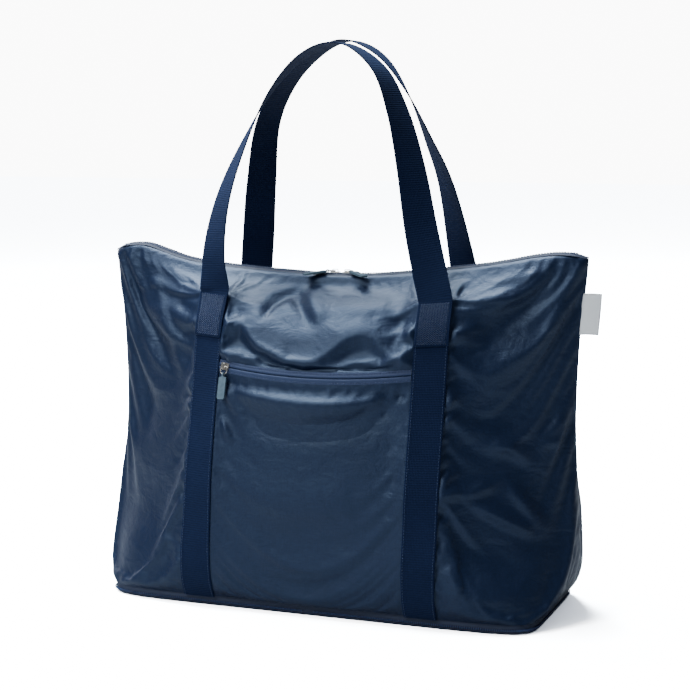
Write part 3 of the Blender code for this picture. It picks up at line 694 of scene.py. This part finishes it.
# The same for the rear panel, whose folds fall more evenly
REAR_FOLDS = (
    (-0.0050, 0.014, 0.012, (-0.255, 0.360), (-0.225, 0.310), (-0.180, 0.255)),
    (0.0050, 0.012, 0.016, (-0.225, 0.365), (-0.200, 0.320), (-0.165, 0.280)),
    (0.0070, 0.020, 0.008, (-0.120, 0.300), (-0.070, 0.325), (-0.010, 0.300), (0.050, 0.318), (0.115, 0.292)),
    (0.0045, 0.014, 0.010, (-0.110, 0.190), (-0.040, 0.215), (0.040, 0.200), (0.110, 0.225)),
    (-0.0040, 0.014, 0.014, (-0.100, 0.130), (0.000, 0.150), (0.100, 0.120)),
    (0.0045, 0.012, 0.014, (0.155, 0.290), (0.200, 0.335), (0.250, 0.385)),
    (-0.0045, 0.014, 0.014, (0.165, 0.250), (0.210, 0.290), (0.262, 0.350)),
    (0.0050, 0.010, 0.006, (0.180, 0.160), (0.215, 0.140), (0.255, 0.110)),
    (0.0050, 0.010, 0.006, (-0.262, 0.200), (-0.220, 0.170), (-0.170, 0.150)),
    (0.0035, 0.012, 0.014, (-0.240, 0.080), (-0.190, 0.060), (-0.150, 0.070)),
)
POCKET_FOLDS = (
    # a roll of slack under the zip, the hollow below it and one beside its right end
    (0.0100, 0.009, 0.013, (-0.108, 0.252), (-0.060, 0.246), (0.000, 0.243), (0.050, 0.245), (0.090, 0.250)),
    (-0.0040, 0.010, 0.016, (-0.070, 0.226), (-0.020, 0.220), (0.040, 0.224), (0.086, 0.236)),
    (-0.0038, 0.008, 0.007, (0.110, 0.262), (0.098, 0.248), (0.082, 0.232)),
    # short diagonals beside the left strap
    (0.0040, 0.006, 0.009, (-0.110, 0.226), (-0.104, 0.210), (-0.092, 0.192)),
    (0.0040, 0.007, 0.010, (-0.106, 0.250), (-0.094, 0.234), (-0.074, 0.214)),
    # broad slack further down
    (0.0022, 0.020, 0.024, (-0.090, 0.150), (-0.020, 0.130), (0.060, 0.145)),
    (-0.0020, 0.020, 0.020, (-0.060, 0.090), (0.010, 0.100), (0.080, 0.080)),
)


def gathers(along, away, seed, spacing, reach):
    """Short puckers that a seam pulls into the fabric beside it: 0 at the seam, gone beyond their reach."""
    rise = np.zeros(along.shape)
    for i in range(along.shape[0]):
        for j in range(along.shape[1]):
            if away[i, j] < 4 * reach:
                slanted = (along[i, j] - 0.55 * away[i, j]) / spacing
                rise[i, j] = noise.noise(Vector((slanted, seed * 5.1, away[i, j] / (4 * reach))))
    near = np.clip(away / 0.002, 0, 1)
    return rise * near * np.exp(-away / reach)


def relax(piece, sewn, growth, pressure, frames):
    """Lets the fabric settle as cloth, cut a little too large so that it creases between its seams."""
    group = piece.vertex_groups.new(name="sewn")
    for index, weight in enumerate(sewn.ravel()):
        if weight > 0:
            group.add([index], float(weight), "REPLACE")
    cloth = piece.modifiers.new("cloth", "CLOTH")
    settings = cloth.settings
    stiffness = 12.0
    settings.quality = 6
    settings.mass = 0.10
    settings.air_damping = 2.0
    settings.tension_stiffness = stiffness
    settings.compression_stiffness = stiffness
    settings.shear_stiffness = stiffness / 2
    settings.bending_stiffness = 0.06
    settings.shrink_min = -growth
    settings.vertex_group_mass = "sewn"
    settings.pin_stiffness = 1.0
    settings.use_pressure = True
    settings.uniform_pressure_force = pressure
    cloth.collision_settings.use_collision = False
    cloth.collision_settings.use_self_collision = False
    scene = bpy.context.scene
    scene.frame_start = 1
    scene.frame_end = frames
    cloth.point_cache.frame_start = 1
    cloth.point_cache.frame_end = frames
    for number in range(1, frames + 1):
        scene.frame_set(number)
    settled = piece.evaluated_get(bpy.context.evaluated_depsgraph_get())
    placed = np.zeros(len(piece.data.vertices) * 3, np.float32)
    settled.data.vertices.foreach_get("co", placed)
    piece.modifiers.remove(cloth)
    piece.vertex_groups.remove(group)
    scene.frame_set(1)
    return placed.reshape(-1, 3).astype(float)


def capped(start, moved, most):
    """The moved points, none further than most from where it started."""
    shift = moved - start
    far = np.linalg.norm(shift, axis=1, keepdims=True)
    return start + shift * (most * np.tanh(far / most) / np.maximum(far, 1e-9))


def settle(piece, grid, sewn, growth, pressure, frames, most):
    start = grid.reshape(-1, 3)
    moved = relax(piece, sewn, growth, pressure, frames)
    placed = capped(start, moved, most)
    piece.data.vertices.foreach_set("co", placed.astype(np.float32).ravel())
    piece.data.update()


def make_fabric(node, cut, lift, side, sewn, growth, pressure, frames, most):
    """Nylon lifted off the outline that it is cut to, settled as cloth and smoothed."""
    grid = cut + grid_normals(cut, side) * lift[..., None]
    piece = grid_object(f"{node}_fabric", grid, side, NYLON)
    settle(piece, grid, sewn, growth, pressure, frames, most)
    smoother = piece.modifiers.new("smoother", "SUBSURF")
    smoother.levels = 1
    smoother.render_levels = 1
    ride(piece, "bag", "navy_nylon", node)


def make_panel(side):
    """A panel's fabric, folded and gathered along its seams."""
    face = "front" if side < 0 else "rear"
    grid = panel_grid(side)
    sewn = sewn_share(grid, side)
    rows, columns = grid.shape[:2]
    lift = swell(grid, side)
    for fold in FRONT_FOLDS if side < 0 else REAR_FOLDS:
        lift += fold_rise(grid, *fold)
    x, z = grid[..., 0], grid[..., 2]
    strap_gap = np.maximum(np.abs(np.abs(x) - STRAP_X) - WEBBING_WIDTH / 2, 0.0)
    lift += 0.0100 * gathers(z, strap_gap, 3 + side, 0.012, 0.012)
    if side < 0:
        zip_gap = np.maximum(z - POCKET_ZIP_Z - 0.009, 0.0)
        lift += 0.0050 * gathers(x, zip_gap, 7, 0.014, 0.010) * (np.abs(x) < STRAP_X)
    free = 1 - sewn
    top_edge = ramp(np.arange(rows)[::-1], 1, 7)[:, None]
    side_edge = ramp(np.minimum(np.arange(columns), np.arange(columns)[::-1]), 0, 8)[None, :]
    lift *= free * top_edge * side_edge * ramp(np.arange(rows), 0, 8)[:, None]
    if side < 0:
        lift -= recess(grid)
    make_fabric(f"{face}_panel", grid, lift, side, sewn, growth=0.018, pressure=1.0, frames=16, most=0.012)


make_panel(-1)
make_panel(1)


# ---------------------------------------------------------------- the front pocket


def pocket_edge(x):
    """Height of the pocket zip's middle at x."""
    return POCKET_ZIP_Z + POCKET_ZIP_RISE * (x / POCKET_HALF_WIDTH) ** 2


def make_pocket_panel():
    """The pocket's fabric, sewn down round its edge and slack between."""
    rows, columns = 84, 76
    grid = np.zeros((rows + 1, columns + 1, 3))
    reach = POCKET_HALF_WIDTH + 0.004
    for j, x in enumerate(spaced(reach, columns)):
        low = level_at(0.0130, x)
        high = level_at(pocket_edge(x) - TAPE_WIDTH + 0.001, x)
        for i in range(rows + 1):
            grid[i, j] = raised(low + (high - low) * i / rows, x, -1, POCKET_LIFT - 0.001)
    row, column = np.indices((rows + 1, columns + 1))
    sewn = ((row == 0) | (row >= rows - 1) | (column <= 1) | (column >= columns - 1)).astype(float)
    lift = np.zeros(sewn.shape)
    for fold in POCKET_FOLDS:
        lift += fold_rise(grid, *fold)
    side_gap = np.maximum(reach - np.abs(grid[..., 0]), 0.0)
    lift += 0.0080 * gathers(grid[..., 2], side_gap, 11, 0.013, 0.010)
    top_gap = np.maximum(POCKET_ZIP_Z - TAPE_WIDTH - grid[..., 2], 0.0)
    lift += 0.0024 * gathers(grid[..., 0], top_gap, 13, 0.026, 0.010)
    lift *= ramp(np.minimum(np.minimum(row, rows - row), np.minimum(column, columns - column)), 1, 5)
    make_fabric("pocket_panel", grid, lift, -1, sewn, growth=0.012, pressure=0.8, frames=14, most=0.008)


make_pocket_panel()


# ---------------------------------------------------------------- straps and handles


def strap_frames(side, x_side, low, high, lift, count):
    """Centre, direction across and normal at even steps up a strap, between two heights."""
    x = x_side * STRAP_X
    first, last = level_at(low, x), level_at(high, x)
    frames = []
    for i in range(count + 1):
        level = first + (last - first) * i / count
        normal = panel_normal(level, x, side)
        across = panel_point(level, x + 0.01, side) - panel_point(level, x - 0.01, side)
        across = (across - normal * across.dot(normal)).normalized()
        frames.append((raised(level, x, side, lift), across, normal))
    return frames


def make_strap(side, x_side, name):
    """Webbing sewn to a panel, with a row of stitches down each edge."""
    lift = STRAP_LIFT + WEBBING_THICKNESS / 2
    frames = strap_frames(side, x_side, 0.0115, PATCH_TOP, lift, 70)
    ride(ribbon(name + "_webbing", frames), "bag", "navy_webbing", name)
    normals = [normal for _, _, normal in frames]
    inset = WEBBING_WIDTH / 2 - 0.0022
    paths = []
    for edge in (-1, 1):
        line = [c + a * edge * inset + n * WEBBING_THICKNESS / 2 for c, a, n in frames]
        paths += stitch_paths(line, normals, seed=edge + 3 * x_side)
    sew(name + "_stitches", paths)


def handle_frames(face, side):
    """Centre, direction across and normal along a handle, from one patch's bottom to the other's."""
    lift = STRAP_LIFT + 1.5 * WEBBING_THICKNESS + 0.0002
    legs = [strap_frames(side, x_side, PATCH_BOTTOM, PATCH_TOP, lift, 14) for x_side in (-1, 1)]
    feet = [leg[-1][0] for leg in legs]
    knots = [feet[0], *HANDLE_LINES[face], feet[1]]
    steps = 150
    arch = [Vector(through(knots, i / steps)) for i in range(steps + 1)]
    forward = Vector((0, side, 0))
    frames = [*legs[0]]
    for i, centre in enumerate(arch[1:-1], start=1):
        tangent = (arch[i + 1] - arch[i - 1]).normalized()
        rise = centre.z - feet[0].z
        outward = turned_to(tangent.cross(forward).normalized(), Vector((centre.x, 0, rise)))
        face_way = turned_to(tangent.cross(outward).normalized(), forward)
        twist = min(FOOT_TWIST + TWIST_PER_METRE * rise, math.pi / 2)
        normal = face_way * math.cos(twist) + outward * math.sin(twist)
        foot_normal = legs[0 if i < steps / 2 else 1][-1][2]
        near = 1 - float(ramp(rise, 0.0, 0.030))
        normal = (normal * (1 - near) + foot_normal * near).normalized()
        normal = (normal - tangent * normal.dot(tangent)).normalized()
        across = normal.cross(tangent).normalized()
        frames.append((centre, turned_to(across, frames[-1][1]), normal))
    for centre, across, normal in legs[1][::-1]:
        frames.append((centre, turned_to(across, frames[-1][1]), normal))
    return frames


def make_handle(face, side):
    """A handle's webbing, sewn down over both straps' tops and free between them."""
    handle = ribbon(f"{face}_handle_webbing", handle_frames(face, side))
    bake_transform(handle)
    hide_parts(f"{face}_handle")


def make_patch(side, x_side, name):
    """The block of zigzag stitching through a handle's end."""
    lift = STRAP_LIFT + 2 * WEBBING_THICKNESS + 0.0002
    rows = 26
    frames = strap_frames(side, x_side, PATCH_BOTTOM + 0.002, PATCH_TOP - 0.002, lift, rows)
    half = WEBBING_WIDTH / 2 - 0.0028
    turns = 22
    paths = []
    for i in range(rows):
        path = []
        for k in range(turns + 1):
            share = i + 0.5 + (0.42 if k % 2 else -0.42)
            low = int(min(share, rows - 1))
            centre, across, normal = frames[low]
            centre = centre.lerp(frames[low + 1][0], min(share - low, 1.0))
            height = THREAD_RADIUS * (0.5 + 0.5 * math.sin(k * 2.1 + i))
            path.append(centre + across * half * (2 * k / turns - 1) + normal * height)
        paths.append(path)
    sew(name + "_zigzag", paths, name, sides=5)


for face, side in (("front", -1), ("rear", 1)):
    for half_name, x_side in (("left", -1), ("right", 1)):
        make_strap(side, x_side, f"{face}_{half_name}_strap")
        make_patch(side, x_side, f"{face}_{half_name}_stitch_patch")
    make_handle(face, side)


# ---------------------------------------------------------------- top zip


def zip_tape(name, rows, material, *nodes):
    """A woven tape through rows of points, given in the order that turns its faces outwards."""
    grid = np.array([[tuple(p) for p in row] for row in rows])
    tape = mesh_object(name, grid.reshape(-1, 3), grid_faces(*grid.shape[:2]), material, grid_uvs(grid))
    return ride(tape, "bag", "zip_tape", *nodes)


def make_top_zip():
    """The top zip: two tapes that meet at a narrow slit, each with two rows of stitches."""
    steps = 150
    # distance from the slit and drop of a tape's points, then the same for the two rows of stitches
    profile = ((0.0004, 0.0014), (0.0008, 0.0002), (0.0030, 0.0), (0.0075, 0.0002), (0.0108, 0.0022))
    stitch_rows = ((0.0046, -0.0002), (0.0066, -0.0001))
    for face, side in (("front", -1), ("rear", 1)):
        sections = []
        for x in spaced(0.2885, steps):
            pinch = 1 - float(ramp(abs(x), 0.272, 0.289))
            narrowed = side * (0.25 + 0.75 * pinch)
            z = zip_height(x)
            ripple = 0.0005 * noise.noise(Vector((x * 40, side, 0)))
            sections.append([Vector((x, y * narrowed, z - drop + ripple)) for y, drop in profile])
        rows = [*zip(*sections)]
        nodes = (f"top_zip_{face}_tape", f"top_zip_{face}_coil")
        zip_tape(f"top_zip_{face}_tape_fabric", rows if side > 0 else rows[::-1], TOP_TAPE, *nodes)
        for number, (y, drop) in enumerate(stitch_rows):
            line = [Vector((x, side * y, zip_height(x) - drop)) for x in spaced(0.276, steps)]
            paths = stitch_paths(line, [UP] * len(line), seed=number)
            sew(f"top_zip_{face}_stitches_{number + 1}", paths)


make_top_zip()


# ---------------------------------------------------------------- pocket zip


def pocket_frame(x, lift):
    """A place on the pocket zip's middle, its direction up the panel, and its normal."""
    level = level_at(pocket_edge(x), x)
    normal = panel_normal(level, x, -1)
    up = panel_point(level + 0.01, x, -1) - panel_point(level - 0.01, x, -1)
    up = (up - normal * up.dot(normal)).normalized()
    return raised(level, x, -1, lift), up, normal


def make_pocket_zip():
    """The pocket's zip: two tapes that meet at a slit, each with a row of stitches."""
    frames = [pocket_frame(x * 1.015, 0.0016) for x in spaced(POCKET_HALF_WIDTH, 60)]
    normals = [normal for _, _, normal in frames]
    # distance from the slit and height of a tape's points
    profile = (
        (0.0003, -0.0012), (0.0007, 0.0), (0.0016, 0.0006), (0.0026, 0.0004), (0.0040, 0.0), (0.0068, -0.0004)
    )
    for name, way in (("upper", 1), ("lower", -1)):
        rows = [[place + up * way * u + normal * h for place, up, normal in frames] for u, h in profile]
        nodes = (f"pocket_zip_{name}_tape", f"pocket_zip_{name}_coil")
        zip_tape(f"pocket_zip_{name}_tape_fabric", rows if way < 0 else rows[::-1], POCKET_TAPE, *nodes)
        line = [place + up * way * 0.0053 + normal * 0.0001 for place, up, normal in frames]
        sew(f"pocket_zip_{name}_stitches", stitch_paths(line, normals))


make_pocket_zip()


# ---------------------------------------------------------------- base


def base_outline(inset, count):
    points = []
    for i in range(count):
        turn = 2 * math.pi * i / count
        reach = abs(math.sin(turn)) ** BASE_POWER + abs(math.cos(turn)) ** BASE_POWER
        share = reach ** (-1 / BASE_POWER)
        length, depth = BASE_HALF_LENGTH - inset, BASE_HALF_DEPTH - inset
        points.append(Vector((length * share * math.sin(turn), depth * share * math.cos(turn), 0)))
    return points


def make_base():
    """The base's zip tape and its two coils of teeth, which stop short of the middle at front and rear."""
    count = 260
    # inset from the base's edge and height of the tape's points
    profile = (
        (-0.0002, 0.0012), (-0.0012, 0.0022), (-0.0014, 0.0046), (-0.0010, 0.0080),
        (0.0002, BASE_ZIP_TOP + 0.001),
    )
    rows = [[p + Vector((0, 0, z)) for p in base_outline(inset, count)] for inset, z in profile]
    rows = [[*row, row[0]] for row in rows]
    zip_tape("base_zip_tape_fabric", rows[::-1], BASE_TAPE, "base_zip_tape")
    outline = base_outline(-0.0021, 900)
    # height of a tooth's points and how far they stand out
    tooth = ((0.0038, -0.0003), (0.0044, 0.0005), (0.0060, 0.0005), (0.0066, -0.0003))
    half_gap = 0.0065  # between the two coils
    teeth = []
    for i, point in enumerate(outline):
        if abs(point.x) < half_gap:
            continue
        along = (outline[(i + 1) % len(outline)] - outline[i - 1]).normalized()
        out = turned_to(along.cross(UP).normalized(), point)
        teeth.append([point + Vector((0, 0, z)) + out * o for z, o in tooth])
    for name, way in (("left", -1), ("right", 1)):
        half = [path for path in teeth if path[0].x * way > 0]
        coil = tube(f"base_zip_{name}_teeth", half, 0.00055, COIL, 5)
        ride(coil, "bag", "zip_coil", f"base_zip_{name}_coil")


make_base()


# ---------------------------------------------------------------- metal, tabs and label


def dress(node, material, bevel=0.0):
    """A CAD node that stays, with a finished material and softened edges."""
    piece = frame["nodes"][node]
    piece.data.materials.clear()
    piece.data.materials.append(material)
    if bevel:
        softened = piece.modifiers.new("softened", "BEVEL")
        softened.width = bevel
        softened.segments = 2
        softened.limit_method = "ANGLE"
        softened.angle_limit = math.radians(35)


for name in ("top_left", "top_right", "pocket", "base"):
    dress(name + "_slider", METAL, 0.0004)
    dress(name + "_pull_link", METAL)
    dress(name + "_pull_tab", TAB, 0.0005)
dress("base_panel", LINING)
dress("base_lining", LINING)
for name in ("left", "right"):
    dress(name + "_side_binding", BINDING)


def make_label():
    """A blank woven label, sewn into the right side seam and curling a little."""
    low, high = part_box("side_label")
    up_steps, out_steps = 12, 10
    tucked = 0.002  # into the seam
    rows = []
    for i in range(up_steps + 1):
        v = i / up_steps
        z = low.z + (high.z - low.z) * v
        lean = 0.0016 * (2 * v - 1)
        row = []
        for j in range(out_steps + 1):
            u = j / out_steps
            curl = 0.0025 * u * u * math.sin(2.2 * v + 0.3) - 0.0008
            out = low.x - tucked + lean + (high.x - low.x + 0.0005) * u
            row.append((out, curl, z + 0.0006 * math.sin(3 * u)))
        rows.append(row)
    grid = np.array(rows)
    faces = grid_faces(*grid.shape[:2])
    label = mesh_object("blank_side_label", grid.reshape(-1, 3), faces, LABEL, grid_uvs(grid))
    thick = label.modifiers.new("folded", "SOLIDIFY")
    thick.thickness = 0.0007
    thick.offset = 0.0
    ride(label, "bag", "label_fabric", "side_label")


make_label()


# ---------------------------------------------------------------- camera, light and floor

FLOOR_REACH = 14.0
FLOOR_SHADE = 0.5  # what the floor reflects
NEAR_FLOOR = 0.6  # distances from the bag between which the floor's exposure rises
FAR_FLOOR = 4.2
NEAR_EXPOSURE = 27.0  # how much brighter the floor is to the camera than to the bag
FAR_EXPOSURE = 150.0
ROOM_LIGHT = 0.15
PAPER_LIGHT = 10.6  # of the backdrop that only the camera sees


def look_at(thing, target):
    thing.rotation_mode = "QUATERNION"
    thing.rotation_quaternion = (Vector(target) - thing.location).to_track_quat("-Z", "Y")


def make_camera():
    azimuth, elevation, distance = math.radians(20.67), math.radians(7.29), 1.995
    target = Vector((0.0044, 0, 0.2935))
    data = bpy.data.cameras.new("camera")
    data.lens = 90.0
    data.sensor_width = 36.0
    camera = new_object("camera", data)
    back = Vector((
        math.sin(azimuth) * math.cos(elevation), -math.cos(azimuth) * math.cos(elevation), math.sin(elevation)
    ))
    camera.location = target + back * distance
    look_at(camera, target)
    bpy.context.scene.camera = camera


def softbox(name, place, width, height, power, colour=(1.0, 1.0, 1.0)):
    data = bpy.data.lights.new(name, "AREA")
    data.shape = "RECTANGLE"
    data.size = width
    data.size_y = height
    data.energy = power
    data.color = colour
    light = new_object(name, data)
    light.location = place
    look_at(light, (0, 0, 0.3))


def make_floor():
    """A pale floor, brighter to the camera than to the bag, as on an exposure set for the dark bag."""
    s = Shading("pale_floor")
    away = s.add("ShaderNodeVectorMath", {0: s.place}, operation="LENGTH").outputs["Value"]
    near, far = FLOOR_SHADE * NEAR_EXPOSURE, FLOOR_SHADE * FAR_EXPOSURE
    exposed = s.spread(away, NEAR_FLOOR, FAR_FLOOR, near, far)
    to_camera = s.add("ShaderNodeLightPath").outputs["Is Camera Ray"]
    shade = s.spread(to_camera, 0.0, 1.0, FLOOR_SHADE, exposed)
    surface = s.add("ShaderNodeBsdfDiffuse", {"Color": shade})
    s.wire(s.tree.nodes["Material Output"].inputs[0], surface.outputs[0])
    s.tree.nodes.remove(s.shader)
    corners = [(-FLOOR_REACH, -FLOOR_REACH, 0), (FLOOR_REACH, -FLOOR_REACH, 0)]
    corners += [(FLOOR_REACH, FLOOR_REACH, 0), (-FLOOR_REACH, FLOOR_REACH, 0)]
    floor = mesh_object("pale_floor", corners, [(0, 1, 2, 3)], s.material)


def make_world():
    """White paper behind the bag for the camera, and a dim room for what lights it and what it reflects."""
    world = bpy.data.worlds.new("studio")
    world.use_nodes = True
    tree = world.node_tree
    room = tree.nodes["Background"]
    room.inputs["Color"].default_value = (0.86, 0.92, 1.0, 1.0)
    room.inputs["Strength"].default_value = ROOM_LIGHT
    paper = tree.nodes.new("ShaderNodeBackground")
    paper.inputs["Color"].default_value = (1.0, 1.0, 1.0, 1.0)
    paper.inputs["Strength"].default_value = PAPER_LIGHT
    rays = tree.nodes.new("ShaderNodeLightPath")
    mix = tree.nodes.new("ShaderNodeMixShader")
    tree.links.new(rays.outputs["Is Camera Ray"], mix.inputs[0])
    tree.links.new(room.outputs[0], mix.inputs[1])
    tree.links.new(paper.outputs[0], mix.inputs[2])
    tree.links.new(mix.outputs[0], tree.nodes["World Output"].inputs[0])
    bpy.context.scene.world = world


make_camera()
make_floor()
make_world()
softbox("overhead", (-0.7, 0.25, 2.3), 1.5, 1.1, 145.0, (0.82, 0.91, 1.0))
softbox("key", (-1.0, -1.7, 1.9), 0.9, 0.8, 36.0)
softbox("front_fill", (-0.9, -2.6, 0.8), 1.1, 1.1, 11.5, (0.80, 0.90, 1.0))
softbox("left_rim", (-2.1, 0.9, 0.9), 0.30, 1.2, 5.0)
